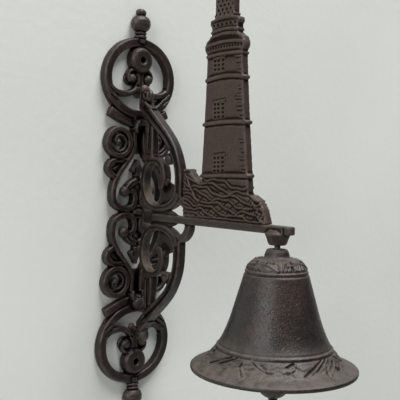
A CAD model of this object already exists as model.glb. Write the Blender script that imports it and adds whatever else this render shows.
import math

import bpy
import numpy as np
from mathutils import Matrix, Vector


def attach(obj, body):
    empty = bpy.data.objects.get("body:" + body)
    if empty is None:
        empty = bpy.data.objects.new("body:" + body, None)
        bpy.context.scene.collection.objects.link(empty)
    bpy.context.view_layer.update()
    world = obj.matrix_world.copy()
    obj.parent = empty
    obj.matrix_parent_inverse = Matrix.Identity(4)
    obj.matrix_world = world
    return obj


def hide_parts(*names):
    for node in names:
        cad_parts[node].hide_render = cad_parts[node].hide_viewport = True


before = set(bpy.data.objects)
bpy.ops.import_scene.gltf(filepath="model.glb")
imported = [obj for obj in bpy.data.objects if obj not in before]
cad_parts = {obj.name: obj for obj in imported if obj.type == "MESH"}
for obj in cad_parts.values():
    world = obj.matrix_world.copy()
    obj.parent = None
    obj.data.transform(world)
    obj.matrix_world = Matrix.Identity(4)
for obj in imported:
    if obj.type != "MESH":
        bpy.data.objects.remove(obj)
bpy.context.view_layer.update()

mm = 0.001

# Work is drawn flat in millimetres (across, along, thickness) and then stood up
onWall = Matrix(((1, 0, 0, 0), (0, 0, -1, 0), (0, 1, 0, 0), (0, 0, 0, 1)))
onArm = Matrix(((0, 0, -1, 0), (-1, 0, 0, 0), (0, 1, 0, 0), (0, 0, 0, 1)))
hangerReach = 184  # from the wall to the bell's axis


def active():
    return bpy.context.view_layer.objects.active


def pick(*objs):
    bpy.ops.object.select_all(action="DESELECT")
    for obj in objs:
        obj.select_set(True)
    bpy.context.view_layer.objects.active = objs[0]


def finishWith(obj, kind, **values):
    pick(obj)
    modifier = obj.modifiers.new(kind.title(), kind)
    for key, value in values.items():
        setattr(modifier, key, value)
    bpy.ops.object.modifier_apply(modifier=modifier.name)


def faceOutwards(obj):
    pick(obj)
    bpy.ops.object.mode_set(mode="EDIT")
    bpy.ops.mesh.select_all(action="SELECT")
    bpy.ops.mesh.remove_doubles(threshold=0.00001)
    bpy.ops.mesh.normals_make_consistent(inside=False)
    bpy.ops.object.mode_set(mode="OBJECT")


def joined(name, objs):
    pick(*objs)
    bpy.ops.object.join()
    whole = active()
    whole.name = whole.data.name = name
    return whole


def newObject(name, data):
    obj = bpy.data.objects.new(name, data)
    bpy.context.scene.collection.objects.link(obj)
    return obj


# Every vertex's place in millimetres, and the way that the surface faces there
def readSkin(mesh):
    count = len(mesh.vertices) * 3
    places, ways = np.empty(count), np.empty(count)
    mesh.vertices.foreach_get("co", places)
    mesh.vertex_normals.foreach_get("vector", ways)
    return places.reshape(-1, 3) / mm, ways.reshape(-1, 3)


def moveSkin(mesh, places):
    mesh.vertices.foreach_set("co", (places * mm).ravel())
    mesh.update()


def markSkin(mesh, name, values):
    layer = mesh.attributes.new(name, "FLOAT", "POINT")
    layer.data.foreach_set("value", values.astype(np.float32))


# A smooth line through the points, evenly soft round each of them
def smoothLine(points, between, closed=False):
    places = [np.array(p, float) for p in points]
    if closed:
        places = [places[-1]] + places + places[:2]
    else:
        places = [2 * places[0] - places[1]] + places + [2 * places[-1] - places[-2]]
    line = []
    for corners in zip(places, places[1:], places[2:], places[3:]):
        knots = [0]
        for start, end in zip(corners, corners[1:]):
            knots.append(knots[-1] + max(np.linalg.norm(end - start), 1e-6) ** 0.5)
        for step in range(between):
            t = knots[1] + (knots[2] - knots[1]) * step / between
            row = corners
            for gap in (1, 2):
                row = [
                    a + (b - a) * (t - knots[i]) / (knots[i + gap] - knots[i])
                    for i, (a, b) in enumerate(zip(row, row[1:]))
                ]
            line.append(tuple(row[0] + (row[1] - row[0]) * (t - knots[1]) / (knots[2] - knots[1])))
    if not closed:
        line.append(tuple(places[-2]))
    return line


# Points round a middle, at the given degrees; a radius is one number, or one for each point
def roundLine(middle, degrees, across, along=None):
    turns = np.radians(degrees)
    along = across if along is None else along
    return list(zip(middle[0] + across * np.cos(turns), middle[1] + along * np.sin(turns)))


# Cross-sections of the cast bands, each for a band one millimetre wide
def crossSection(points):
    curve = bpy.data.curves.new("crossSection", "CURVE")
    curve.dimensions = "2D"
    spline = curve.splines.new("POLY")
    spline.points.add(len(points) - 1)
    for point, (x, y) in zip(spline.points, points):
        point.co = (x * mm, y * mm, 0, 1)
    spline.use_cyclic_u = True
    return newObject("crossSection", curve)


def domed(height):
    side = [(0.5, 0), (0.5, 0.52), (0.46, 0.76), (0.36, 0.93), (0.2, 1), (0.05, 1)]
    half = [(x, y * height) for x, y in side]
    return crossSection(half + [(-x, y) for x, y in reversed(half)])


# A rib with a flat face and a little draft on its sides, a millimetre high
def ribbed():
    half = [(0.6, 0), (0.5, 0.84), (0.46, 0.95), (0.36, 1), (0.05, 1)]
    return crossSection(half + [(-x, y) for x, y in reversed(half)])


# A bar's two faces, with a shallow channel down each of them where channel is above 0
def bar(thickness, squareness, channel=0.0):
    corner = 0.5 - 0.2 * (1 - squareness)
    quarter = [(0.5, 0.5 - 0.3 * (1 - squareness)), (corner + 0.02, 0.49), (corner - 0.04, 0.5)]
    quarter += [(0.27, 0.5 - channel * 0.3), (0.15, 0.5 - channel), (0.03, 0.5 - channel)]
    upper = [(x, y * thickness) for x, y in quarter]
    upper += [(-x, y) for x, y in reversed(upper)]
    return crossSection(upper + [(-x, -y) for x, y in upper])


def band(shape, points, widths, closed=False, between=7, height=0):
    line = smoothLine(points, between, closed)
    radii = np.interp(np.linspace(0, len(widths) - 1, len(line)), range(len(widths)), widths)
    curve = bpy.data.curves.new("band", "CURVE")
    curve.dimensions = "3D"
    curve.twist_mode = "Z_UP"
    curve.bevel_mode = "OBJECT"
    curve.bevel_object = shape
    curve.use_fill_caps = not closed
    spline = curve.splines.new("POLY")
    spline.points.add(len(line) - 1)
    spline.use_cyclic_u = closed
    for point, (across, along), radius in zip(spline.points, line, radii):
        point.co = (across * mm, along * mm, 0, 1)
        point.radius = radius
    pick(newObject("band", curve))
    bpy.ops.object.convert(target="MESH")
    obj = active()
    if height:
        evenHeight(obj, line, radii, height)
    return obj


# A band is as deep where it is narrow as where it is broad
def evenHeight(obj, line, radii, height):
    places = readSkin(obj.data)[0]
    nearest = np.linalg.norm(places[:, None, :2] - np.array(line)[None], axis=2).argmin(axis=1)
    places[:, 2] *= height / radii[nearest]
    moveSkin(obj.data, places)


def ball(place, radius, flatness=1.0, length=1.0, turn=0.0):
    bpy.ops.mesh.primitive_uv_sphere_add(segments=24, ring_count=14, radius=radius * mm)
    obj = active()
    shape = Matrix.Diagonal((length, 1, flatness, 1))
    obj.data.transform(Matrix.Translation(Vector(place) * mm) @ Matrix.Rotation(turn, 4, "Z") @ shape)
    return obj


def block(low, high, softness):
    bpy.ops.mesh.primitive_cube_add(size=1)
    obj = active()
    low, high = Vector(low) * mm, Vector(high) * mm
    obj.data.transform(Matrix.Translation((low + high) / 2) @ Matrix.Diagonal((*(high - low), 1)))
    finishWith(obj, "BEVEL", width=softness * mm, segments=3)
    return obj


# Turned work: the profile is radius and height, about the axis of the flat sheet
def turned(profile, steps=48, place=(0, 0, 0), closed=False):
    mesh = bpy.data.meshes.new("turned")
    edges = [(i, i + 1) for i in range(len(profile) - 1)]
    if closed:
        edges.append((len(profile) - 1, 0))
    mesh.from_pydata([(r * mm, 0, h * mm) for r, h in profile], edges, [])
    obj = newObject("turned", mesh)
    finishWith(obj, "SCREW", steps=steps, render_steps=steps, use_merge_vertices=True, merge_threshold=1e-6)
    faceOutwards(obj)
    obj.data.transform(Matrix.Translation(Vector(place) * mm))
    return obj


# A slab cut to an outline, as thick on both sides of the sheet
def slab(outline, thickness, softness):
    mesh = bpy.data.meshes.new("slab")
    low = -thickness / 2 * mm
    mesh.from_pydata([(a * mm, b * mm, low) for a, b in outline], [], [list(range(len(outline)))])
    obj = newObject("slab", mesh)
    pick(obj)
    bpy.ops.object.mode_set(mode="EDIT")
    bpy.ops.mesh.select_all(action="SELECT")
    bpy.ops.mesh.extrude_region_move(TRANSFORM_OT_translate={"value": (0, 0, thickness * mm)})
    bpy.ops.object.mode_set(mode="OBJECT")
    faceOutwards(obj)
    sharp = math.radians(60)
    finishWith(obj, "BEVEL", width=softness * mm, segments=2, limit_method="ANGLE", angle_limit=sharp)
    return obj


# The bands, balls and blocks that a table lists
def lumpsOf(table, shapes):
    lumps = []
    for kind, line, widths, height in table.get("bands", []):
        lumps.append(band(shapes[kind], line, widths, height=height))
    lumps += [ball(*values) for values in table.get("balls", [])]
    return lumps + [block(*values) for values in table.get("blocks", [])]


def mirrored(obj, *axes):
    finishWith(obj, "MIRROR", use_axis=[axis in axes for axis in "XYZ"], use_mirror_merge=False)


def clearAway(shapes):
    for shape in shapes.values():
        bpy.data.objects.remove(shape)


# Many lumps become one skin of small even faces, with its corners rounded a little
def castInOne(obj, cell, rounding):
    finishWith(obj, "REMESH", mode="VOXEL", voxel_size=cell * mm, use_smooth_shade=True)
    finishWith(obj, "SMOOTH", factor=0.5, iterations=rounding)


# A line drawn in shares of a box, laid out in the box
def laidOut(line, low, high):
    return [(low[0] + (high[0] - low[0]) * a, low[1] + (high[1] - low[1]) * b) for a, b in line]


def distanceTo(line, spots):
    points = [np.array(p, float) for p in line]
    best = np.full(len(spots), np.inf)
    for start, end in zip(points, points[1:] + points[-1:]):
        along = end - start
        share = np.clip((spots - start) @ along / max(along @ along, 1e-9), 0, 1)
        best = np.minimum(best, np.linalg.norm(spots - start - share[:, None] * along, axis=1))
    return best


# The same line moved sideways, to the left of its run
def offsetLine(line, aside):
    points = np.array(line, float)
    along = np.gradient(points, axis=0)
    along /= np.maximum(np.linalg.norm(along, axis=1, keepdims=True), 1e-9)
    return [tuple(p) for p in points + aside * np.stack([-along[:, 1], along[:, 0]], axis=1)]


# Strokes from a table of line, steps between its points (0 leaves it straight), reach and height
def strokesOf(table, at):
    strokes = []
    for line, between, reach, height in table:
        line = smoothLine(line, between) if between else line
        strokes.append(([at(*point) for point in line], reach, height))
    return strokes


# Chasing: each stroke (line, reach, height) raises the skin, or sinks it where height is below 0
def chase(obj, strokes, sheet):
    places, ways = readSkin(obj.data)
    spots, facing = sheet(places, ways)
    move = np.zeros(len(places))
    for line, reach, height in strokes:
        corners = np.array(line, float)
        low, high = corners.min(axis=0) - reach, corners.max(axis=0) + reach
        near = np.nonzero(((spots > low) & (spots < high)).all(axis=1))[0]
        if len(near):
            away = distanceTo(line, spots[near])
            move[near] += height * np.clip(1 - (away / reach) ** 2, 0, 1) ** 1.5
    moveSkin(obj.data, places + ways * (move * facing)[:, None])
    return move


dusting = {
    "outwards": 0.8,  # how well dust holds on a face away from the wall, where 1 is a face upwards
    "least": 0.3,
    "slopeFrom": 0.36,
    "slopeOver": 0.34,
}


# Pale dust lies near the spots (place, reach, strength) and, where slope is set, on sloping faces
def markDust(obj, spots=(), slope=0.0):
    s = dusting
    places, ways = readSkin(obj.data)
    dust = np.zeros(len(places))
    for place, reach, strength in spots:
        away = np.linalg.norm(places - np.array(place), axis=1)
        dust = np.maximum(dust, strength * np.clip(1 - (away / reach) ** 2, 0, 1))
    dust *= np.clip(-ways[:, 1] * s["outwards"] + np.clip(ways[:, 2], 0, 1), s["least"], 1)
    sloping = np.clip((ways[:, 2] - s["slopeFrom"]) / s["slopeOver"], 0, 1)
    markSkin(obj.data, "dust", np.maximum(dust, slope * sloping))


# How far each point stands out of its surroundings, finely (edges) and broadly (ridges and hollows)
def markRelief(obj, fineRounds=4, broadRounds=45, fineFull=0.07, broadFull=0.7):
    mesh = obj.data
    count = len(mesh.vertices)
    places, ways = readSkin(mesh)
    ends = np.empty(len(mesh.edges) * 2, dtype=np.int32)
    mesh.edges.foreach_get("vertices", ends)
    here = np.concatenate((ends[::2], ends[1::2]))
    there = np.concatenate((ends[1::2], ends[::2]))
    neighbours = np.maximum(np.bincount(here, minlength=count), 1)
    soft = places.copy()
    for step in range(broadRounds):
        for axis in range(3):
            total = np.bincount(here, weights=soft[there, axis], minlength=count)
            soft[:, axis] = total / neighbours
        if step + 1 == fineRounds:
            fine = ((places - soft) * ways).sum(axis=1)
    broad = ((places - soft) * ways).sum(axis=1)
    markSkin(mesh, "fineRelief", np.clip(fine / fineFull, -1, 1))
    markSkin(mesh, "broadRelief", np.clip(broad / broadFull, -1, 1))


# Where the skin lies on the flat sheet of the work, and how well it faces out of that sheet
def plateSheet(places, ways):
    return places[:, [0, 2]], np.clip(-ways[:, 1] * 1.3, 0, 1)


def armSheet(places, ways):
    spots = np.stack([-places[:, 1], places[:, 2]], axis=1)
    return spots, np.clip(np.abs(ways[:, 0]) * 1.3 - 0.1, 0, 1)


print("bench ready")

wallPlate = {
    "cell": 0.62,
    "rounding": 1,
    "thinning": 0.5,  # keeps the plate under 200,000 triangles
    "ring": {"middle": (0, 126.5), "across": 37.65, "along": 34.15, "width": 8, "height": 7.6},
    "bossAlong": 144,
    "boss": [
        (2.9, 0), (2.9, 9.2), (3.6, 10.2), (4.6, 10.7), (8.4, 10.7), (10.8, 9.8), (12.2, 7.4), (12.6, 4.6),
        (12.9, 0),
    ],
    "spiral": {"middle": (23.2, 65.6), "radius": 12.7, "width": 4.6, "height": 7.8},
    "coil": {
        "radii": [(0, 11.6), (0.16, 8.8), (0.55, 8.2), (0.8, 6.2), (1, 3.4)],  # share of the run, radius
        "widths": [3.2, 2.4, 2.2, 2.4],
        "height": 6.6,
    },
    "leaf": [(0, 51), (3.2, 45.6), (7.2, 39.8), (5.6, 37.2), (2.4, 37.4), (2, 31), (0, 31)],
    "leafThickness": 11.6,
    "quarter": {
        "bands": [  # section, line, widths, height (0 where it follows the width)
            ("wide", [  # curl
                (36.5, 119), (29, 113.4), (19.5, 111.4), (11, 112.4), (4.6, 116.4), (1.8, 122), (1.4, 128),
                (4, 133.2), (8.4, 134.4), (12.4, 132), (13.6, 127.5), (12, 123.2),
            ], [6.4, 6, 5.8, 5.6, 5.2, 4.8, 4.2, 3.6, 3], 7),
            ("low", [(37, 116.6), (31.5, 112.6), (25.5, 109.8)], [4, 5, 2], 0),  # lobes
            ("low", [(36.4, 110.6), (31, 106.6), (22.8, 103.2)], [4.4, 6.2, 2], 0),
            ("low", [(33, 104), (29.5, 101.4), (25.5, 99.2)], [4, 4.6, 2.2], 0),
            ("rib", [(1, 83), (18, 87.6), (34, 94.6)], [7.2, 7.8], 6.6),  # tab
            ("rib", [  # scroll
                (5.4, 90), (5.6, 76), (5.8, 64), (8, 55), (14.8, 45.5), (21.8, 37), (27, 28), (29, 18),
                (27, 8.7), (20.3, 4.2), (12.5, 3), (6, 5.6), (3.6, 12.5), (5.2, 18.6), (9.8, 20.6),
            ], [3.8, 3.8, 4.2, 4.8, 5.2, 5.4, 5.4, 5, 4.6], 7.8),
            ("rib", [  # small scroll
                (27.6, 33.5), (32.4, 37), (34, 42), (31.6, 46.6), (25.2, 48.6), (14.2, 48.8),
            ], [4.4, 4.8, 4.8, 4.2], 7),
            ("low", [(12.5, 47.5), (20, 43.4), (28.4, 39.4)], [3, 6, 4], 5),  # wedge leaf
            ("wide", [(13.6, 20.8), (8.6, 26), (1.5, 30)], [6.8, 7, 6.6], 7.6),  # root
            ("low", [(0.3, 49.6), (0.6, 42), (0.4, 34)], [2, 5, 6], 7.4),  # leaf's rib
            ("wide", [(5.6, 75), (5.7, 80), (3.2, 84.4), (0, 85)], [2.8, 4.6, 6.6, 7.4], 12),  # hood
        ],
        "balls": [  # place, radius, flatness, length
            ((9.8, 126.4, 4), 4.8, 1.1), ((9.8, 126.4, 1), 7, 0.5), ((14.9, 19.4, 4.2), 5.2, 0.95),
            ((23.6, 65.4, 3.6), 3.5, 1.15),
        ],
    },
    "half": {
        "bands": [("low", [(0, 55), (0, 70), (0, 91)], [10, 11, 12.6], 2.6)],  # floor between the stems
        "balls": [((0, 121, 2.2), 4.6, 1, 0.9), ((0, 114.6, 1), 4.2, 0.95), ((0, 24.4, 2.6), 3.4, 0.9, 0.9)],
    },
    "whole": {
        "blocks": [((-5.5, -6.5, 0), (5.5, 6.5, 7.5), 1.2)],  # low corner, high corner, softness
        "balls": [((0, 0, 6.6), 3.4, 0.7, 1.6), ((0, -86, 8.6), 6.5, 1.1, 1.12, math.radians(90))],
    },
    "finial": [
        (0, 160), (5.4, 160.4), (5.6, 163), (5.3, 164.0), (5.2, 164.8), (6.5, 165.6), (6.6, 166.6),
        (5.0, 167.6), (5.0, 168.2), (6.4, 169.0), (6.4, 169.9), (5.0, 170.8), (5.4, 171.3), (7.6, 172.6),
        (9.5, 175), (10.3, 178.2), (9.9, 181.6), (8.0, 184.4), (5.4, 185.9), (4.5, 186.5), (5.3, 187.6),
        (5.6, 189.2), (4.9, 191), (3.2, 192.3), (1.2, 192.8), (0, 192.8),
    ],
    "finialFlatness": 0.8,
    "finialLift": 4.5,
    "strokes": [
        ([(2.6, 119.6), (6.2, 120.4), (11.4, 122)], 4, 1.5, -1.8),
        ([(3.4, 130.6), (8, 133), (12, 130.2)], 4, 1.0, -0.9),
        ([(35, 115.4), (28.6, 110)], 0, 1.0, -1.1),
        ([(34.6, 109.2), (27.4, 104.2)], 0, 1.0, -1.1),
        ([(1.4, 47), (6.4, 40.6)], 0, 0.8, -0.6),
        ([(13, 22.6), (7, 28.4)], 0, 0.8, -0.5),
        ([(1, 81.4), (4.6, 80), (5.8, 75)], 5, 1.0, -0.8),
    ],
}


def makeQuarter(shapes):
    s = wallPlate
    rib = shapes["rib"]
    oval, spiral, coil = s["ring"], s["spiral"], s["coil"]
    ring = roundLine(oval["middle"], np.linspace(92, -92, 21), oval["across"], oval["along"])
    rim = roundLine(spiral["middle"], np.arange(0, 360, 15), spiral["radius"])
    run = np.linspace(0, 1, 24)
    inner = roundLine(spiral["middle"], 20 - 380 * run, np.interp(run, *zip(*coil["radii"])))
    quarter = joined("quarter", lumpsOf(s["quarter"], shapes) + [
        band(rib, ring, [oval["width"]], between=3, height=oval["height"]),
        turned(s["boss"], 48, (0, s["bossAlong"], 0), closed=True),
        band(rib, rim, [spiral["width"]], closed=True, between=3, height=spiral["height"]),
        band(rib, inner, coil["widths"], between=3, height=coil["height"]),
        slab(s["leaf"], s["leafThickness"], 1.2),
    ])
    mirrored(quarter, "X")
    return quarter


def makeFinial():
    s = wallPlate
    finial = turned(s["finial"])
    flatness, lift = s["finialFlatness"], s["finialLift"] * mm
    finial.data.transform(Matrix(((1, 0, 0, 0), (0, 0, 1, 0), (0, flatness, 0, lift), (0, 0, 0, 1))))
    faceOutwards(finial)
    return finial


def makeWallPlate():
    s = wallPlate
    shapes = {"rib": ribbed(), "wide": domed(1), "low": domed(0.9)}
    half = joined("half", [makeQuarter(shapes), makeFinial()] + lumpsOf(s["half"], shapes))
    mirrored(half, "Y")
    plate = joined("wallPlateCasting", [half] + lumpsOf(s["whole"], shapes))
    plate.data.transform(onWall)
    castInOne(plate, s["cell"], s["rounding"])
    clearAway(shapes)

    strokes = []
    for sideX in (-1, 1):
        for sideZ in (-1, 1):
            strokes += strokesOf(s["strokes"], lambda a, b: (sideX * a, sideZ * b))
    chase(plate, strokes, plateSheet)
    places = readSkin(plate.data)[0]
    places[:, 1] = np.minimum(places[:, 1], 0)  # the back lies flat on the wall
    moveSkin(plate.data, places)
    return plate


wallPlateCasting = makeWallPlate()
print("wall plate cast:", len(wallPlateCasting.data.polygons), "faces")

bracket = {
    "cell": 0.6,
    "rounding": 1,
    "middle": -3.3,
    "bow": [
        (-0.09, 1.02), (0.13, 0.9), (0.36, 0.785), (0.57, 0.68), (0.75, 0.57), (0.88, 0.45), (0.97, 0.31),
        (1, 0.17), (1, 0),
    ],
    "bowFrom": (20, 20),
    "bowTo": (67.6, 103),
    "bowWidths": [9.6, 10, 9.2, 8.6, 8.4, 8.4, 8.6],
    "volute": [
        (1, 0.34), (0.92, 0.17), (0.75, 0.05), (0.55, 0), (0.31, 0.01), (0.13, 0.11), (0.03, 0.32),
        (0, 0.56), (0.04, 0.8), (0.15, 0.96), (0.31, 1), (0.47, 0.95), (0.56, 0.82), (0.59, 0.63),
        (0.56, 0.48), (0.49, 0.42),
    ],
    "voluteFrom": (17.4, 9),
    "voluteTo": (66.6, 52.9),
    "voluteWidths": [8, 6.4, 5.4, 5.4, 5.4, 5.4, 5.4, 6.4, 6.6, 4.4],
    "voluteHeight": 8.6,
    "hook": [(1, 0), (0.99, 0.4), (0.83, 0.8), (0.56, 1), (0.27, 0.91), (0, 0.64)],
    "hookFrom": (55.1, 1.3),
    "hookTo": (81, 17.3),
    "hookWidths": [6.8, 7.2, 7],
    "half": {
        "bands": [
            ("thin", [(60.5, 60.3), (55.6, 58.3), (50.8, 54.8)], [4, 4.6, 4.4], 0),
            ("thin", [(16.8, 53.4), (24.6, 54.6), (32.4, 52.6)], [2.6, 3, 2.6], 0),
            ("thin", [(17.4, 57.4), (24.6, 58.6), (32, 57)], [2.6, 3, 2.6], 0),
        ],
        "balls": [((41.6, 31.6, 0), 3.7, 1.05), ((52.6, 54.4, 0), 5.6, 0.9), ((46.6, 33.4, 0), 4.6, 0.9)],
        "blocks": [((18, -1, -3), (40, 6.4, 3), 1), ((17.6, 52.6, -4.6), (32.2, 58, 4.6), 1.2)],
    },
    "whole": {
        "bands": [
            ("flat", [(25, 51), (25.4, 66), (24.6, 90)], [13, 12, 8], 0),
            ("flat", [(27.4, -58), (28, -72), (25.6, -98)], [13, 12, 8], 0),
            ("plain", [(12.6, 99.4), (18, 99.6), (27, 95)], [6.6, 7.2, 7], 0),
            ("plain", [(27, -99), (20.4, -105), (15.6, -113)], [9.4, 10.4, 8.4], 0),
        ],
        "balls": [
            ((46.3, -3.3, 0), 8.5, 4 / 8.5, 21.3 / 8.5), ((12.6, 117.2, 0), 3.4, 1.15),
            ((18.4, 109.6, 0), 6.6, 0.72), ((17.4, -116, 0), 7.6, 0.74),
        ],
        "blocks": [
            ((46.8, -59.4, -4.2), (58, -52.4, 4.2), 1.8), ((9.2, 96.5, -4.2), (16.2, 118.4, 4.2), 1.6),
            ((6.2, 109.5, -3.6), (11, 118.4, 3.6), 1.2), ((6.2, -119.4, -3.6), (16, -111.6, 3.6), 1.4),
        ],
    },
    "hollow": [(36, 11), (57, 12), (61, 20), (58, 30), (50, 33), (42, 32), (36, 24)],
    "hollowThickness": 1.6,
    "hollowDepth": 3.4,
    "armStart": 33,
    "armReach": 199,
    "armHalf": 5,
    "armCorner": (3.6, 1.8),
    "armTop": 0,
    "armFoot": -6.6,
    "boss": [(0, -15.2), (6.3, -15.2), (7.4, -14.2), (8.6, -10.6), (10.3, -6.2), (7, -3.3), (0, -3.3)],
    "lineStrokes": [  # line, part of its run, aside, reach, height
        ("bow", slice(4, 26), 0, 1.1, -0.6), ("bow", slice(4, 26), 2.6, 0.9, 0.35),
        ("bow", slice(4, 26), -2.6, 0.9, 0.35), ("volute", slice(4, 70), -1.9, 0.8, 0.35),
    ],
    "sideStrokes": [([(54.4, 77.4), (58.4, 73.4)], 0, 1.0, -0.9)],
    "strokes": [
        ([(24.8, 60), (24.8, 86)], 0, 1.3, -0.6),
        ([(27.6, -64), (26.6, -90)], 0, 1.3, -0.6),
        ([(18.6, 110)], 0, 2.6, -2.4),
        ([(14.4, 113), (18.6, 115.2), (22.6, 112.8), (23.4, 108)], 5, 0.9, -0.7),
        ([(17.4, -117)], 0, 2.2, -1.2),
        ([(12.4, -111), (17.4, -109.2), (22.8, -111.8)], 5, 0.9, -1.0),
        ([(193.6, -2.2), (193.9, -6.6)], 0, 1.1, -1.9),
        ([(12.8, 112), (13.4, 104)], 0, 1.4, -0.7),
    ],
    "dust": [  # place, reach, strength
        ((0, -24, 14), 20, 1.0), ((0, -26, -44), 20, 1.0), ((0, -11.5, 119), 8, 1.0),
        ((0, -25, 50), 12, 0.5), ((-4, -110, -4), 60, 0.4), ((-4, -160, -4), 60, 0.4),
        ((-4, -60, -4), 40, 0.4), ((0, -18, -110), 12, 0.5), ((0, -52, -56), 8, 0.5),
        ((0, -52, 40), 10, 0.3), ((0, -52, -44), 10, 0.3),
    ],
}


def makeArm():
    s = bracket
    start, end, half = s["armStart"], s["armReach"], s["armHalf"]
    along, aside = s["armCorner"]
    near = [(start, -half), (end - along, -half), (end, aside - half)]
    arm = slab(near + [(u, -x) for u, x in reversed(near)], s["armTop"] - s["armFoot"], 0.8)
    level = Matrix.Translation((0, (s["armTop"] + s["armFoot"]) / 2 * mm, 0))
    arm.data.transform(level @ Matrix.Rotation(math.pi / 2, 4, "X"))
    return arm


# Thin floors on the far side of the volutes, which leave a hollow on the near side
def makeHollows():
    s = bracket
    hollows = []
    for side in (-1, 1):
        floor = slab([(u, s["middle"] + side * z) for u, z in s["hollow"]], s["hollowThickness"], 0.3)
        floor.data.transform(Matrix.Translation((0, 0, -s["hollowDepth"] * mm)))
        hollows.append(floor)
    return hollows


def makeBracket():
    s = bracket
    shapes = {
        "grooved": bar(1.0, 0.75, 0.04), "plain": bar(1.1, 0.6), "thin": bar(1.5, 0.3),
        "flat": bar(0.7, 0.5, 0.03), "strap": bar(1, 0.75),
    }
    lines = {name: laidOut(s[name], s[name + "From"], s[name + "To"]) for name in ("bow", "volute", "hook")}
    half = joined("half", lumpsOf(s["half"], shapes) + [
        band(shapes["grooved"], lines["bow"], s["bowWidths"]),
        band(shapes["strap"], lines["volute"], s["voluteWidths"], height=s["voluteHeight"]),
        band(shapes["plain"], lines["hook"], s["hookWidths"]),
    ])
    mirrored(half, "Y")
    half.data.transform(Matrix.Translation((0, s["middle"] * mm, 0)))
    flatWork = [half, makeArm()] + makeHollows() + lumpsOf(s["whole"], shapes)
    whole = joined("bracketCasting", flatWork)
    whole.data.transform(onArm)
    whole = joined("bracketCasting", [whole, turned(s["boss"], 48, (0, -hangerReach, 0))])
    castInOne(whole, s["cell"], s["rounding"])
    clearAway(shapes)

    table = list(s["sideStrokes"])
    for name, run, aside, reach, height in s["lineStrokes"]:
        table.append((offsetLine(smoothLine(lines[name], 6), aside)[run], 0, reach, height))
    strokes = strokesOf(s["strokes"], lambda a, b: (a, b))
    for side in (-1, 1):
        strokes += strokesOf(table, lambda a, b: (a, s["middle"] + side * b))
    chase(whole, strokes, armSheet)
    markDust(whole, s["dust"])
    return whole


bracketCasting = makeBracket()
print("bracket cast:", len(bracketCasting.data.polygons), "faces")

lighthouse = {
    "cell": 0.7,
    "rounding": 2,
    "reach": 123.5,
    "lean": math.radians(1.7),
    "leanAt": 97,
    "thickness": 7.6,
    "footHalf": 28,
    "topHalf": 20.5,
    "bottom": 14,
    "foot": 28,
    "top": 140,
    "crown": [
        (23.6, 144.5), (23.4, 147.5), (21.5, 152), (16.2, 155.4), (15.2, 156.6), (15.2, 163), (17.2, 165.2),
        (17.2, 167), (15.5, 168.6), (10.8, 170.2), (10.8, 198), (13, 199.6), (11.4, 203), (6.2, 208),
        (1.8, 211),
    ],
    "mouldings": [(37.6, 28, 0.4), (82, 25.5, 1.4), (119.8, 22.4, 2.4)],  # height, half width, rise
    "mouldingWidth": 2.9,
    "knob": (1.9, 2.1),  # radius, flatness
    "ledges": [  # height, half width, rise, width
        (139.2, 21.4, 1.2, 1.75), (148.6, 22.6, 2.4, 1.75), (155.4, 16.6, 2.0, 1.75),
        (159.4, 15.8, 1.8, 1.75), (169, 16, 2, 1.75), (199.2, 12.4, 0, 1.7), (172, 11.4, 0, 1.7),
    ],
    "finial": (213.4, 3.4),  # height, radius
    "windows": [(47.3, 4), (92.6, 4), (130.9, 3)],  # height, rows
    "windowMiddle": 118.4,
    "windowPitch": 3.5,
    "panes": [([(x - 0.5, 0), (x + 0.5, 0)], 1.4, -0.7) for x in (-5.6, -1.4, 3.9)],
    "sill": ([(2.2, 1.7), (5.8, 1.9)], 0.8, 0.35),
    "lintel": ([(-7, 0.4), (6.6, 1.6)], 0.9, 0.3),
    "gallery": {"holes": 13, "pitch": 3.25, "height": 145.8, "sag": 0.03},
    "balcony": {"holes": 6, "pitch": 5, "start": -12.6, "height": 164.4},
    "lantern": {"rows": 7, "columns": 5, "start": -9.4, "pitch": 4.7, "foot": 173, "rise": 3.6, "edge": 9.8},
    "courses": [  # height, distance from the edge, length
        (44, 1.5, 5), (51.5, 1.2, 7), (58, 2, 4), (66, 1.4, 6), (88.4, 1.4, 4), (92.6, 1.2, 8),
        (96.2, 1.2, 6), (101.8, 1.6, 9), (103.8, 1.2, 6), (110, 1.5, 4), (126.4, 1.2, 5), (131.6, 1.5, 6),
        (136, 1.2, 7),
    ],
    "rock": [
        (75.5, 0.3), (175, 0.3), (172.8, 7.2), (170.5, 13), (165.5, 19.4), (160, 22.5), (147.5, 24),
        (133.5, 26.5), (119.5, 23), (105.5, 26.5), (95.5, 30.5), (87.5, 36.5), (82.5, 42.5), (78.5, 42.5),
        (75.5, 41),
    ],
    "rockThickness": 8.6,
}


# Half the tower's width, which narrows a little faster near its foot
def towerHalf(height):
    s = lighthouse
    share = max(0, (height - s["foot"]) / (s["top"] - s["foot"]))
    bend = 0.35 * math.sin(share * math.pi / 2) + 0.65 * share
    return s["footHalf"] + (s["topHalf"] - s["footHalf"]) * bend


def leaned(points):
    s = lighthouse
    c, d = math.cos(s["lean"]), math.sin(s["lean"])
    out = []
    for u, z in points:
        du, dz = u - s["reach"], z - s["leanAt"]
        out.append((s["reach"] + du * c - dz * d, s["leanAt"] + dz * c + du * d))
    return out


# A line across the tower, which stands higher in the middle by its rise
def arched(height, half, rise):
    shares = [step / 4 for step in range(-4, 5)]
    reach = lighthouse["reach"]
    return leaned([(reach + half * t, height + rise * (0.5 - t ** 2)) for t in shares])


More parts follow.
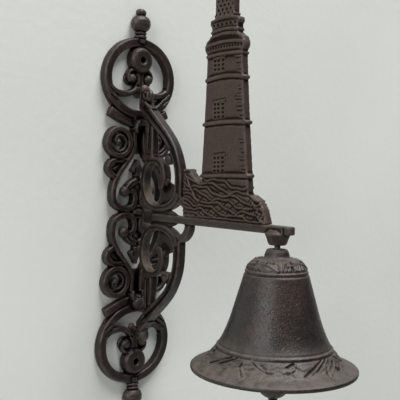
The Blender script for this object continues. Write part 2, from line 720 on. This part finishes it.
def makeLighthouse():
    s = lighthouse
    shapes = {"moulding": bar(3.1, 0.5), "ledge": bar(5.5, 0.6)}
    side = [(towerHalf(z), z) for z in np.linspace(s["bottom"], s["top"], 10)] + s["crown"]
    outline = [(s["reach"] + half, z) for half, z in side]
    outline += [(s["reach"] - half, z) for half, z in reversed(side)]
    parts = [slab(leaned(outline), s["thickness"], 0.6), slab(s["rock"], s["rockThickness"], 0.9)]
    for moulding in s["mouldings"]:
        line = arched(*moulding)
        parts.append(band(shapes["moulding"], line, [s["mouldingWidth"]], between=2))
        parts += [ball((*end, 0), *s["knob"]) for end in (line[0], line[-1])]
    for height, half, rise, width in s["ledges"]:
        parts.append(band(shapes["ledge"], arched(height, half, rise), [width], between=2))
    tip, radius = s["finial"]
    parts.append(ball((*leaned([(s["reach"], tip)])[0], 0), radius))
    figure = joined("lighthouseCasting", parts)
    figure.data.transform(onArm)
    castInOne(figure, s["cell"], s["rounding"])
    clearAway(shapes)
    chase(figure, towerStrokes() + rockStrokes(), armSheet)
    return figure


def towerStrokes():
    s = lighthouse
    strokes = []

    def stroke(points, reach, height):
        strokes.append((leaned(points), reach, height))

    def inWindow(level, line, reach, height):
        stroke([(s["windowMiddle"] + x, level + z) for x, z in line], reach, height)

    for z, rows in s["windows"]:
        for row in range(rows):
            level = z + (row - (rows - 1) / 2) * s["windowPitch"]
            for pane in s["panes"] + [s["sill"]]:
                inWindow(level, *pane)
        inWindow(z + rows * s["windowPitch"] / 2, *s["lintel"])
    for z, half, rise in s["mouldings"]:
        strokes.append((arched(z - 2.5, half, rise), 1.0, -0.7))
    g = s["gallery"]
    for hole in range(g["holes"]):
        aside = hole - (g["holes"] - 1) / 2
        stroke([(s["reach"] + g["pitch"] * aside, g["height"] - g["sag"] * aside ** 2)], 1.2, -1.2)
    g = s["balcony"]
    for hole in range(g["holes"]):
        stroke([(s["reach"] + g["start"] + g["pitch"] * hole, g["height"])], 1.5, -1.5)
    g = s["lantern"]
    for row in range(g["rows"]):
        for column in range(g["columns"]):
            aside = g["start"] + g["pitch"] * (column + row % 2 / 2)
            if aside < g["edge"]:
                stroke([(s["reach"] + aside, g["foot"] + g["rise"] * row)], 1.5, -1.3)
    for level, inset, length in s["courses"]:
        edge = s["reach"] + towerHalf(level) - inset
        stroke([(edge - length, level + 0.3), (edge, level)], 0.8, 0.18)
        stroke([(edge - length * 0.7, level - 1.3), (edge + 1, level - 1.5)], 0.8, -0.2)
    return strokes


# Wavy beds of rock, falling towards the end of the arm and crossing lower down
def rockStrokes():
    strokes = []
    for row, start in enumerate(range(41, 5, -5)):
        ridge, hollow = [], []
        for step in range(14):
            u = 76.5 + 7.2 * step
            wave = 1.9 * math.sin(1.25 * step + 1.7 * row) + 0.9 * math.sin(2.9 * step + row)
            level = start - 1.5 * step + 0.02 * step ** 2 + wave
            ridge.append((u, max(1.6, level)))
            hollow.append((u, max(0.6, level - 1.9)))
        strokes.append((smoothLine(ridge, 3), 1.1, 0.8))
        strokes.append((smoothLine(hollow, 3), 1.2, -0.5))
    for row in range(9):
        start = 80 + 11 * row
        line = [(start, 1.5)]
        for step in range(1, 5):
            line.append((start + 5.4 * step, 1.5 + 4.1 * step + 1.3 * math.sin(2.1 * step + 2.3 * row)))
        strokes.append((smoothLine(line, 3), 0.9, -0.6))
    for row in range(6):
        strokes.append(([(77.4 + 2.2 * row, 41 - 4 * row), (84.6 + 3 * row, 27.5 - 3.6 * row)], 1.0, 0.6))
    for row in range(7):
        start, level = 158 + 1.6 * row, 18.5 - 2.4 * row
        strokes.append(([(start, level), (start + 5.5, level - 3.5)], 0.9, 0.9))
        for column in range(4):
            spot = (156.5 + 3.1 * column + 1.4 * (row % 2) + row * 0.8, 20.4 - 2.6 * row - 1.2 * column)
            strokes.append(([spot], 1.2, -0.9))
    return strokes


lighthouseCasting = makeLighthouse()
print("lighthouse cast:", len(lighthouseCasting.data.polygons), "faces")

# The bell's heights are drops below its top, and its strokes are angle and drop
bell = {
    "top": -18.2,
    "outside": [
        (12.5, 7.4), (18, 8.8), (23, 14), (25.6, 20), (28, 28), (31.6, 40.5), (36.4, 56.5), (41.8, 70),
        (45.8, 76.5), (55.1, 87.5), (64, 91.44),
    ],
    "wall": 3.8,
    "nub": [(3.2, 0), (7.4, 0), (8.1, 0.5), (9.3, 2.6), (9.9, 4.6), (10.3, 6.2)],
    "rim": [
        (65.6, 92.1), (66.2, 92.8), (66.2, 94.2), (65.8, 95.2), (64.4, 95.5), (62.4, 95.2), (61.2, 94.6),
    ],
    "insideEnd": 93.8,
    "crownInside": 12.8,
    "crownRadius": 8,
    "rodHole": 3.2,
    "steps": 560,
    "spacing": [(0, 0.7), (16, 0.7), (24, 1.6), (66, 1.6), (76, 0.7), (130, 0.7)],  # run, length of a face
    "softening": 1.1,  # every stroke reaches this much farther than its table says
    "rounds": [  # drop, reach, height
        (17.4, 1.0, 0.45), (20.6, 0.8, 0.3), (76.4, 0.9, 0.4), (78, 0.8, -0.5), (74.9, 0.7, -0.25),
        (19.2, 0.8, -0.45), (15.8, 0.7, -0.3),
    ],
    "dome": [  # two falling ribs, an upright rib and two veins
        ([(-206, 11.7), (-183, 10.2), (-167, 10.4), (-152, 11.8), (-136, 15.4)], 5, 0.9, 0.7),
        ([(-206, 8.9), (-180, 8.2), (-160, 8.3), (-146, 8.9), (-137, 9.8)], 5, 0.8, 0.55),
        ([(-134, 7.6), (-134, 10), (-134.5, 15)], 5, 0.9, 0.75),
        ([(-104, 9), (-105, 12.4)], 5, 0.7, -0.9),
        ([(-118, 9.6), (-120, 13)], 5, 0.8, -0.6),
    ],
    "plait": range(-197, -148, 8),
    "fan": [  # foot, tip, height
        (-128, -124, 0.7), (-122, -113, 0.5), (-114, -106, 0.65), (-106, -101, -0.8), (-101, -94, 0.7),
        (-96, -87, 0.45), (-90, -80, 0.6), (-86, -71, -0.5), (-80, -64, 0.5),
    ],
    "scallops": (-190, -176, -162),
    "flare": [
        ([(-91, 78.8), (-96, 80.4), (-106, 83.9), (-114, 86.9)], 6, 0.9, -1.1),
        ([(-89, 79), (-94, 80.6), (-103.6, 84.3), (-111.6, 87.3)], 6, 0.8, 0.4),
        ([(-84.6, 78.8), (-92, 81.4), (-100, 84.6)], 6, 0.9, -0.9),
        ([(-82.6, 79), (-90, 81.8), (-98, 85)], 6, 0.8, 0.35),
        ([(-121.4, 79.2), (-124.6, 80), (-127.6, 81.2)], 6, 1.2, -1.1),
        ([(-119.6, 79), (-121.6, 82.4), (-124.8, 84.4), (-120, 87), (-112, 88)], 6, 0.9, 0.5),
        ([(-118, 80.6), (-114, 82.4), (-108, 82)], 6, 2.4, 0.35),
        ([(-77.6, 81.6), (-78.6, 83.4)], 6, 1.4, -0.9),
        ([(-76, 84.6), (-73.4, 86.8), (-71, 88.6), (-73.6, 90)], 6, 1.0, 0.6),
        ([(-78, 84.4), (-75.6, 87), (-73.4, 88.8)], 6, 0.8, -0.5),
        ([(-88.6, 83.8), (-91.4, 86.6), (-92.4, 89.2)], 6, 1.2, -0.55),
        ([(-66, 85.4), (-70, 87.4), (-76, 88.4)], 6, 1.2, 0.4),
        ([(-160, 77.8), (-155, 80), (-151, 82.4), (-144, 84), (-138, 84.3)], 6, 1.0, 0.4),
        ([(-158, 79.4), (-152.6, 82.2), (-146, 84.8), (-140, 85.6)], 6, 0.8, -0.45),
        ([(-149, 81), (-146, 83)], 6, 1.4, -0.4),
        ([(-135, 80), (-146, 84.5), (-150, 89)], 6, 1.0, 0.25),
        ([(-131, 82.5), (-141, 86.8), (-152, 90.2)], 6, 1.0, 0.25),
        ([(-166, 80.4), (-175, 83.6), (-186, 87)], 6, 0.9, 0.4),
        ([(-163, 82.6), (-173, 86.4), (-184, 89.4)], 6, 0.9, 0.3),
        ([(-170, 79.6), (-181, 82), (-192, 85.4)], 6, 0.9, -0.35),
        ([(-158, 85.6), (-168, 88.8), (-176, 89.6)], 6, 0.9, -0.3),
    ],
    "veins": 130,
    "reliefFull": {"fineRelief": 2.0, "broadRelief": 2.6},
    "dust": 0.75,
    "crease": math.radians(50),
}


# A line's points again, as far apart as the spacing asks along its run
def evenly(line, spacing):
    points = np.array(line, float)
    run = np.concatenate(([0], np.cumsum(np.linalg.norm(np.diff(points, axis=0), axis=1))))
    stops = [0.0]
    while stops[-1] < run[-1]:
        stops.append(stops[-1] + float(np.interp(stops[-1], *zip(*spacing))))
    stops = np.array(stops) * run[-1] / stops[-1]
    return list(zip(np.interp(stops, run, points[:, 0]), np.interp(stops, run, points[:, 1])))


def bellSheet(places, ways):
    spots = places + np.array([0, hangerReach, 0])
    reach = np.maximum(np.linalg.norm(spots[:, :2], axis=1), 1)
    outward = (ways[:, :2] * spots[:, :2]).sum(axis=1) / reach
    return spots, np.where((outward > -0.05) & (ways[:, 2] > -0.35), 1.0, 0.0)


def makeBell():
    s = bell
    outer = evenly(smoothLine(s["outside"], 20), s["spacing"])
    inner = []
    ways = np.gradient(np.array(outer), axis=0)
    for (r, drop), way in zip(outer, ways / np.linalg.norm(ways, axis=1, keepdims=True)):
        spot = (r - way[1] * s["wall"], drop + way[0] * s["wall"])
        if s["crownInside"] + 1 < spot[1] < s["insideEnd"]:
            inner.append(spot)
    inner = inner[::3]
    crown = [(r, s["crownInside"]) for r in (inner[0][0] - 4, s["crownRadius"], s["rodHole"])]
    profile = s["nub"] + outer + s["rim"] + inner[::-1] + crown
    profile = [(r, s["top"] - drop) for r, drop in profile]
    obj = turned(profile, s["steps"], (0, -hangerReach, 0), closed=True)
    obj.name = obj.data.name = "bellCasting"

    radii, drops = zip(*(s["nub"][1:] + outer + s["rim"][:2]))

    def at(angle, drop):
        r, t = float(np.interp(drop, drops, radii)), math.radians(angle)
        return (r * math.cos(t), r * math.sin(t), s["top"] - drop)

    strokes = []
    for drop, reach, height in s["rounds"]:
        strokes.append(([at(a, drop) for a in range(0, 361, 4)], reach, height))
    for turn in range(4):
        leaves = s["dome"] + domeLeaves() + s["flare"]
        strokes += strokesOf(leaves, lambda angle, drop: at(angle + 90 * turn, drop))
    strokes += strokesOf(flareVeins(), at)
    strokes = [(line, reach * s["softening"], height) for line, reach, height in strokes]
    move = chase(obj, strokes, bellSheet)
    for name, full in s["reliefFull"].items():
        markSkin(obj.data, name, np.clip(move / full, -1, 1))
    markDust(obj, slope=s["dust"])
    pick(obj)
    bpy.ops.object.shade_smooth_by_angle(angle=s["crease"])
    return obj


# A quarter of the dome: the holes of a plait, a fan of leaves and a row of scallops
def domeLeaves():
    s = bell
    leaves = [([(angle, 9.6), (angle + 3, 9.7)], 5, 0.9, -0.8) for angle in s["plait"]]
    for foot, tip, height in s["fan"]:
        line = [(tip, 8.4), ((foot + tip) / 2 + 1.5, 11), (foot, 15)]
        leaves.append((line, 5, 0.9 if height > 0 else 0.7, height))
    for start in s["scallops"]:
        leaves.append(([(start, 13.6), (start + 9, 14.6), (start + 18, 13.4)], 5, 0.9, 0.3))
    return leaves


# Fine veins anywhere on the flare, raised and sunken by turns
def flareVeins():
    veins = []
    chance = np.random.default_rng(11)
    for step in range(bell["veins"]):
        angle, drop, length = chance.uniform(-180, 180), chance.uniform(79.6, 88.6), chance.uniform(2.5, 8)
        fall = length * chance.uniform(0.1, 0.36)
        veins.append(([(angle, drop), (angle - length, drop + fall)], 6, 1.0, 0.28 if step % 2 else -0.26))
    return veins


bellCasting = makeBell()
print("bell cast:", len(bellCasting.data.polygons), "faces")

forged = {
    "rodRadius": 2.4,
    "rodTop": -2.6,
    "rodNeck": [(0, 3.6), (2.3, 3.8), (2.9, 5.4), (2.4, 7.6)],  # radius, height over the eye's middle
    "rodEye": -47.6,
    "eyeRadius": 4.8,
    "eyeWire": 1.9,
    "linkTop": -48.7,
    "linkFoot": -62.7,
    "linkRadius": 5,
    "linkWire": 1.5,
    "clapperEye": -63.8,
    "clapperStem": [
        (0, -66.4), (2.2, -66.6), (3.2, -68.4), (3.0, -72), (3.0, -88), (3.4, -100), (4.0, -107.6),
    ],
    "clapperBall": (13.8, -123.2),  # radius, height
    "clapperTail": [(3.6, -138.4), (3.5, -145.6), (4.2, -148.2), (3.6, -149.6), (0, -150.2)],
    "clapperCell": 0.55,
    "clapperRounding": 2,
    "cordEye": -154.4,
    "cordEyeRadius": 5.4,
    "cordEyeWire": 2,
    "reliefRounds": (3, 30),
}


# A ring of wire, drawn out by the length of its straight sides
def wireRing(height, radius, wire, straight=0, turn=math.pi / 2):
    bpy.ops.mesh.primitive_torus_add(
        major_radius=radius * mm, minor_radius=wire * mm, major_segments=48, minor_segments=16,
    )
    obj = active()
    for vertex in obj.data.vertices:
        vertex.co.y += math.copysign(straight / 2 * mm, vertex.co.y)
    upright = Matrix.Rotation(turn, 4, "Z") @ Matrix.Rotation(math.pi / 2, 4, "X")
    obj.data.transform(Matrix.Translation((0, -hangerReach * mm, height * mm)) @ upright)
    return obj


def makeRod():
    s = forged
    neck = [(r, s["rodEye"] + rise) for r, rise in s["rodNeck"]]
    shank = [(s["rodRadius"], -20), (s["rodRadius"], s["rodTop"]), (0, s["rodTop"])]
    rod = turned(neck + shank, 32, (0, -hangerReach, 0))
    return joined("bellRodForged", [rod, wireRing(s["rodEye"], s["eyeRadius"], s["eyeWire"])])


def makeLink():
    s = forged
    top, foot, radius = s["linkTop"], s["linkFoot"], s["linkRadius"]
    link = wireRing((top + foot) / 2, radius, s["linkWire"], top - foot - 2 * radius, 0)
    link.name = link.data.name = "clapperLinkForged"
    return link


def makeClapper():
    s = forged
    radius, height = s["clapperBall"]
    arc = [(r, z) for z, r in roundLine((height, 0), range(20, 166, 8), radius)]
    body = turned(s["clapperStem"] + arc + s["clapperTail"], 48, (0, -hangerReach, 0))
    eye = wireRing(s["clapperEye"], s["eyeRadius"], s["eyeWire"])
    cordEye = wireRing(s["cordEye"], s["cordEyeRadius"], s["cordEyeWire"])
    clapper = joined("clapperForged", [body, eye, cordEye])
    castInOne(clapper, s["clapperCell"], s["clapperRounding"])
    return clapper


bellRodForged = makeRod()
clapperLinkForged = makeLink()
clapperForged = makeClapper()
forgedPieces = [bellRodForged, clapperLinkForged, clapperForged]
castPieces = [wallPlateCasting, bracketCasting, lighthouseCasting]
for piece in forgedPieces + castPieces:
    pick(piece)
    bpy.ops.object.shade_smooth()
for piece in forgedPieces:
    markRelief(piece, *forged["reliefRounds"])
for piece in castPieces:
    markRelief(piece)
finishWith(wallPlateCasting, "DECIMATE", ratio=wallPlate["thinning"])
print("forged pieces made")


# Shader groups shared by the metals
def newGroup(name, inputs, outputs):
    group = bpy.data.node_groups.new(name, "ShaderNodeTree")
    for way, sockets in (("INPUT", inputs), ("OUTPUT", outputs)):
        for label, kind in sockets.items():
            group.interface.new_socket(label, in_out=way, socket_type="NodeSocket" + kind)
    given, out = group.nodes.new("NodeGroupInput"), group.nodes.new("NodeGroupOutput")
    return group, given.outputs, out.inputs


# A socket takes another node's output, a number, or a colour of three numbers
def feed(tree, socket, value):
    if hasattr(value, "is_output"):
        tree.links.new(value, socket)
    else:
        socket.default_value = (*value, 1) if isinstance(value, tuple) else value


def addNode(tree, kind, inputs, **settings):
    node = tree.nodes.new(kind)
    for key, value in settings.items():
        setattr(node, key, value)
    for key, value in inputs.items():
        feed(tree, node.inputs[key], value)
    return node


def mixColours(tree, factor, first, second, blend="MIX"):
    inputs = {0: factor, 6: first, 7: second}
    return addNode(tree, "ShaderNodeMix", inputs, data_type="RGBA", blend_type=blend).outputs[2]


def times(tree, first, second, clamp=False):
    inputs = {0: first, 1: second}
    return addNode(tree, "ShaderNodeMath", inputs, operation="MULTIPLY", use_clamp=clamp).outputs[0]


def plus(tree, first, second):
    return addNode(tree, "ShaderNodeMath", {0: first, 1: second}, operation="ADD").outputs[0]


def spread(tree, value, low, high, toLow=0.0, toHigh=1.0):
    inputs = {"Value": value, "From Min": low, "From Max": high, "To Min": toLow, "To Max": toHigh}
    return addNode(tree, "ShaderNodeMapRange", inputs).outputs["Result"]


def noise(tree, coords, scale, detail, roughness=0.5):
    inputs = {"Vector": coords, "Scale": scale, "Detail": detail, "Roughness": roughness}
    return addNode(tree, "ShaderNodeTexNoise", inputs).outputs["Fac"]


def attribute(tree, name):
    return addNode(tree, "ShaderNodeAttribute", {}, attribute_name=name).outputs["Fac"]


# A colour made lighter or darker by a number
def shaded(tree, colour, value):
    grey = addNode(tree, "ShaderNodeCombineColor", {"Red": value, "Green": value, "Blue": value})
    return mixColours(tree, 1.0, colour, grey.outputs["Color"], "MULTIPLY")


def makeMottleGroup():
    inputs = {
        "Coords": "Vector", "Body": "Color", "Warm": "Color", "Pale": "Color",
        "Warmth": "Float", "Paleness": "Float", "Speckle": "Float",
    }
    group, given, out = newGroup("ironMottle", inputs, {"Color": "Color", "Patches": "Float"})
    broad = noise(group, given["Coords"], 38.0, 4.0)
    fine = noise(group, given["Coords"], 190.0, 5.0, 0.65)
    speck = noise(group, given["Coords"], 620.0, 3.0)
    warm = times(group, spread(group, broad, 0.42, 0.62), given["Warmth"])
    colour = mixColours(group, warm, given["Body"], given["Warm"])
    pale = times(group, spread(group, fine, 0.5, 0.72), given["Paleness"])
    colour = mixColours(group, pale, colour, given["Pale"])
    dark = times(group, spread(group, speck, 0.38, 0.62, -1.0, 1.0), given["Speckle"])
    colour = shaded(group, colour, plus(group, dark, 1.0))
    group.links.new(colour, out["Color"])
    group.links.new(broad, out["Patches"])
    return group


def makeGrainGroup():
    inputs = {"Coords": "Vector", "Coarse": "Float", "Fine": "Float"}
    group, given, out = newGroup("castGrain", inputs, {"Height": "Float"})
    pits = addNode(group, "ShaderNodeTexVoronoi", {"Vector": given["Coords"], "Scale": 420.0})
    holes = times(group, spread(group, pits.outputs["Distance"], 0.0, 0.28, -1.0, 0.0), 0.35)
    coarse = times(group, noise(group, given["Coords"], 230.0, 3.0), given["Coarse"])
    fine = times(group, noise(group, given["Coords"], 950.0, 2.0), given["Fine"])
    total = plus(group, plus(group, coarse, fine), holes)
    group.links.new(total, out["Height"])
    return group


# Bare metal shows on edges and ridges, dirt stays in the hollows and dust on what faces up
def makeWearGroup():
    inputs = {"Coords": "Vector", "Edge": "Float", "Hollow": "Float"}
    group, given, out = newGroup("edgeWear", inputs, {"Worn": "Float", "Dirty": "Float", "Dusty": "Float"})
    fine, broad, dust = [attribute(group, name) for name in ("fineRelief", "broadRelief", "dust")]
    patchy = noise(group, given["Coords"], 140.0, 4.0)
    sharp = spread(group, fine, 0.5, 1.0, 0.0, 0.8)
    proud = spread(group, broad, 0.6, 1.0, 0.0, 0.2)
    edge = times(group, plus(group, sharp, proud), spread(group, patchy, 0.38, 0.62, 0.25, 1.0))
    creased = spread(group, fine, -0.05, -0.45, 0.0, 0.9)
    sunken = spread(group, broad, -0.03, -0.42, 0.0, 0.9)
    hollow = plus(group, creased, sunken)
    dusty = times(group, dust, spread(group, patchy, 0.3, 0.6, 0.35, 1.0))
    group.links.new(times(group, edge, given["Edge"], True), out["Worn"])
    group.links.new(times(group, hollow, given["Hollow"], True), out["Dirty"])
    group.links.new(dusty, out["Dusty"])
    return group


mottleGroup = makeMottleGroup()
grainGroup = makeGrainGroup()
wearGroup = makeWearGroup()

# What a metal has unless it says otherwise
usualMetal = {
    "warmth": 0.6,
    "paleness": 0.4,
    "speckle": 0.25,
    "edge": 0.6,
    "hollow": 0.6,
    "coarse": 0.6,
    "fine": 0.4,
    "bump": 0.5,
    "depth": 0.5,
    "metallic": 0.0,
    "gloss": 0.5,
    "dust": (0.13, 0.10, 0.078),
    "dustRoughness": 0.3,
}


def placed(tree, group, **values):
    return addNode(tree, "ShaderNodeGroup", values, node_tree=group).outputs


def metal(name, body, warm, pale, worn, dirt, roughness, **more):
    s = {**usualMetal, **more}
    material = bpy.data.materials.new(name)
    material.use_nodes = True
    tree = material.node_tree
    surface = tree.nodes["Principled BSDF"].inputs
    coords = addNode(tree, "ShaderNodeTexCoord", {}).outputs["Object"]
    tones = {"Body": body, "Warm": warm, "Pale": pale}
    shares = {"Warmth": s["warmth"], "Paleness": s["paleness"], "Speckle": s["speckle"]}
    mottle = placed(tree, mottleGroup, Coords=coords, **tones, **shares)
    wear = placed(tree, wearGroup, Coords=coords, Edge=s["edge"], Hollow=s["hollow"])
    colour = mixColours(tree, wear["Dirty"], mottle["Color"], dirt)
    colour = mixColours(tree, wear["Worn"], colour, worn)
    colour = mixColours(tree, wear["Dusty"], colour, s["dust"])
    rough = spread(tree, mottle["Patches"], 0.35, 0.65, roughness - 0.06, roughness + 0.07)
    rough = plus(tree, rough, times(tree, wear["Dusty"], s["dustRoughness"]))
    grain = placed(tree, grainGroup, Coords=coords, Coarse=s["coarse"], Fine=s["fine"])
    heights = {"Height": grain["Height"], "Strength": s["bump"], "Distance": s["depth"] * mm}
    feed(tree, surface["Base Color"], colour)
    feed(tree, surface["Roughness"], rough)
    feed(tree, surface["Metallic"], s["metallic"])
    gloss = spread(tree, wear["Dirty"], 0, 0.8, s["gloss"], 0.15 * s["gloss"])
    feed(tree, surface["Specular IOR Level"], gloss)
    feed(tree, surface["Normal"], addNode(tree, "ShaderNodeBump", heights).outputs["Normal"])
    return material


# name, body, warm, pale, worn, dirt, roughness
castIron = metal(
    "castIronBrown", (0.009, 0.0055, 0.0045), (0.026, 0.0115, 0.008), (0.028, 0.021, 0.017),
    (0.08, 0.060, 0.048), (0.002, 0.0012, 0.001), 0.40, edge=0.7, hollow=1.0, bump=0.8, depth=0.6, gloss=0.42,
)
figureIron = metal(
    "castIronFigure", (0.040, 0.023, 0.017), (0.050, 0.026, 0.018), (0.058, 0.040, 0.031),
    (0.11, 0.082, 0.066), (0.012, 0.007, 0.005), 0.50, edge=0.5, hollow=0.8, bump=0.6, depth=0.6, gloss=0.45,
)
bellIron = metal(
    "castIronBell", (0.0105, 0.008, 0.007), (0.030, 0.0165, 0.0115), (0.034, 0.029, 0.026),
    (0.085, 0.075, 0.066), (0.005, 0.0035, 0.003), 0.37, edge=0.5, hollow=0.9, bump=1.0, depth=0.6,
    speckle=0.5, warmth=0.8, dust=(0.105, 0.085, 0.072),
)
forgedIron = metal(
    "forgedIronDark", (0.018, 0.015, 0.0135), (0.036, 0.020, 0.015), (0.045, 0.039, 0.035),
    (0.10, 0.09, 0.084), (0.007, 0.0055, 0.005), 0.48, depth=0.3,
)
fastenerSteel = metal(
    "fastenerSteelDull", (0.11, 0.105, 0.10), (0.12, 0.075, 0.045), (0.2, 0.19, 0.18),
    (0.3, 0.29, 0.28), (0.03, 0.025, 0.02), 0.42, metallic=0.8, depth=0.1,
)
washerLeather = metal(
    "washerLeatherBrown", (0.075, 0.040, 0.022), (0.11, 0.058, 0.030), (0.14, 0.085, 0.05),
    (0.16, 0.10, 0.065), (0.03, 0.016, 0.01), 0.8, depth=0.4, gloss=0.3,
)
print("materials made")

# piece, material, body, slot, CAD node that it stands for
pieceTable = [
    (wallPlateCasting, castIron, "wall_frame", "bracket_iron", "wall_plate"),
    (bracketCasting, castIron, "wall_frame", "bracket_iron", "bracket"),
    (lighthouseCasting, figureIron, "wall_frame", "bracket_iron", "lighthouse"),
    (bellCasting, bellIron, "bell", "bell_iron", "bell"),
    (bellRodForged, forgedIron, "wall_frame", "forged_iron", "bell_rod"),
    (clapperLinkForged, forgedIron, "clapper_link", "forged_iron", "clapper_link"),
    (clapperForged, forgedIron, "clapper", "forged_iron", "clapper"),
]
for piece, material, body, slotName, node in pieceTable:
    piece.data.materials.clear()
    piece.data.materials.append(material)
    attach(piece, body)
    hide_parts(node)

steelNodes = [
    "bracket_screw_top", "bracket_screw_bottom", "lighthouse_screw_inner", "lighthouse_screw_outer",
    "bell_nut", "bell_washer_steel",
]
for node in steelNodes + ["bell_washer_leather"]:
    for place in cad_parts[node].material_slots:
        place.material = fastenerSteel if node in steelNodes else washerLeather
print("pieces placed on their bodies")

# The room is in metres
room = {
    "wallColour": (0.80, 0.815, 0.78),
    "wallSize": 3.2,
    "wallMiddle": (0, 0.0006, 0.3),
    "floorColour": (0.42, 0.425, 0.41),
    "floorSize": 6,
    "floorMiddle": (0, -1, -1.2),
    "ambient": 0.14,
    "ambientColour": (0.98, 1.0, 1.02, 1),
    "lampAim": (0, -0.1, 0),
    "lamps": [  # name, place, size, power, colour
        ("windowLamp", (-2.72, -0.9, 1.1), (1.8, 1.8), 46.0, (1.0, 0.995, 0.98)),
        ("skyLamp", (0.6, -1.9, 4.9), (3.2, 2.8), 345.0, (1.0, 1.0, 1.0)),
    ],
}


def plaster(name, colour):
    material = bpy.data.materials.new(name)
    material.use_nodes = True
    tree = material.node_tree
    surface = tree.nodes["Principled BSDF"].inputs
    coords = addNode(tree, "ShaderNodeTexCoord", {}).outputs["Object"]
    tint = spread(tree, noise(tree, coords, 4.0, 3.0), 0.3, 0.7, 0.97, 1.03)
    heights = {"Height": noise(tree, coords, 120.0, 4.0), "Strength": 0.25, "Distance": mm}
    feed(tree, surface["Roughness"], 0.9)
    feed(tree, surface["Specular IOR Level"], 0.2)
    feed(tree, surface["Base Color"], shaded(tree, colour, tint))
    feed(tree, surface["Normal"], addNode(tree, "ShaderNodeBump", heights).outputs["Normal"])
    return material


# The wall's back lets everything through, so that the view from behind isn't blocked
def seenFromFront(material):
    tree = material.node_tree
    back = addNode(tree, "ShaderNodeNewGeometry", {}).outputs["Backfacing"]
    front = tree.nodes["Principled BSDF"].outputs["BSDF"]
    clear = addNode(tree, "ShaderNodeBsdfTransparent", {}).outputs["BSDF"]
    sides = addNode(tree, "ShaderNodeMixShader", {0: back, 1: front, 2: clear})
    feed(tree, tree.nodes["Material Output"].inputs["Surface"], sides.outputs["Shader"])


def makeSheet(name, size, place, material):
    bpy.ops.mesh.primitive_plane_add(size=size)
    sheet = active()
    sheet.name = name
    sheet.data.transform(place)
    sheet.data.materials.append(material)
    return sheet


def makeRoom():
    s = room
    upright = Matrix.Translation(s["wallMiddle"]) @ Matrix.Rotation(math.pi / 2, 4, "X")
    wall = makeSheet("roomWall", s["wallSize"], upright, plaster("wallPlaster", s["wallColour"]))
    seenFromFront(wall.data.materials[0])
    level = Matrix.Translation(s["floorMiddle"])
    floor = makeSheet("roomFloor", s["floorSize"], level, plaster("floorPlain", s["floorColour"]))
    world = bpy.context.scene.world or bpy.data.worlds.new("room")
    bpy.context.scene.world = world
    world.use_nodes = True
    sky = world.node_tree.nodes["Background"].inputs
    sky["Color"].default_value = s["ambientColour"]
    sky["Strength"].default_value = s["ambient"]


def makeLamp(name, place, size, power, colour):
    data = bpy.data.lights.new(name, "AREA")
    data.shape = "RECTANGLE"
    data.size, data.size_y = size
    data.energy = power
    data.color = colour
    lamp = newObject(name, data)
    lamp.location = place
    lamp.rotation_euler = (Vector(room["lampAim"]) - Vector(place)).to_track_quat("-Z", "Y").to_euler()


makeRoom()
for values in room["lamps"]:
    makeLamp(*values)
print("room and lamps set")

# The camera's place in millimetres, its angles in radians, and its lens in the photograph's pixels
photoView = {
    "place": (-447.62, -573.53, 45.31),
    "turn": 0.75880,
    "tip": -0.034407,
    "roll": 0.026753,
    "focal": 753.19,
    "centre": (206.58, 192.11),
    "picture": 400,
    "sensor": 36,
}


def makeCamera():
    s = photoView
    picture = s["picture"]
    data = bpy.data.cameras.new("photoCamera")
    data.sensor_width = s["sensor"]
    data.lens = s["focal"] / picture * s["sensor"]
    data.shift_x = (picture / 2 - s["centre"][0]) / picture
    data.shift_y = (s["centre"][1] - picture / 2) / picture
    camera = newObject("photoCamera", data)
    aim = Matrix.Rotation(-s["turn"], 4, "Z") @ Matrix.Rotation(math.pi / 2 + s["tip"], 4, "X")
    aim = aim @ Matrix.Rotation(s["roll"], 4, "Z")
    camera.matrix_world = Matrix.Translation(Vector(s["place"]) * mm) @ aim
    bpy.context.scene.camera = camera


makeCamera()
bpy.context.scene.view_settings.view_transform = "Standard"

print("finished")
